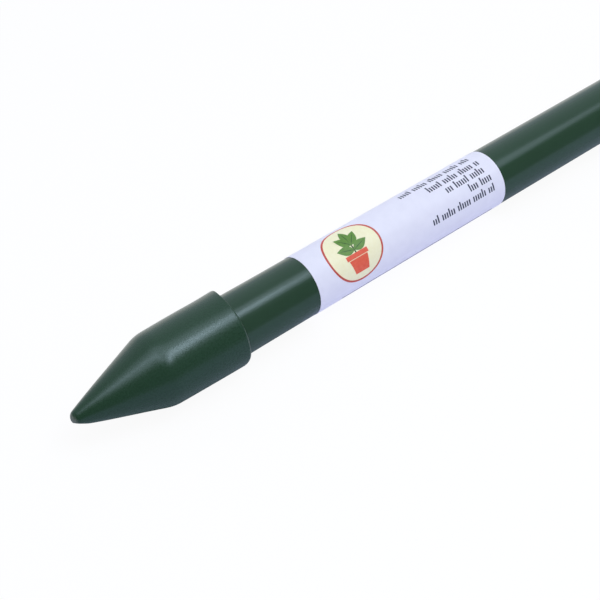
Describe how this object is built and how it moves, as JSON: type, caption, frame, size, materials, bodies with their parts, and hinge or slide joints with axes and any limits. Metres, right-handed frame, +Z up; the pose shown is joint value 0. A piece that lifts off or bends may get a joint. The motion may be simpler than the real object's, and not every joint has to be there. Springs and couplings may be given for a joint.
{
  "type": "plant stake",
  "caption": "Plastic-coated steel tube plant stake with a moulded conical ground point, a flat-crowned top cap and a paper label wrapped round the tube.",
  "frame": {"origin": "on the surface that the stake lies on, under the middle of its length", "axes": "+X along the stake from the ground point to the top cap, +Z up as it lies, and the outer end of the label's lap underneath, towards +Y"},
  "size_m": [0.75, 0.0196, 0.0197],
  "materials": {
    "welded_steel": "bare cold-rolled strip, welded along one seam",
    "extruded_green_plastic": "satin extruded polyethylene, dark green",
    "moulded_green_plastic": "satin injection-moulded polyethylene, dark green",
    "label_paper": null
  },
  "bodies": {
    "root": {"steel_tube": "welded_steel", "plastic_sleeve": "extruded_green_plastic", "ground_point": "moulded_green_plastic", "top_cap": "moulded_green_plastic", "wrap_label": "label_paper"}
  },
  "joints": []
}
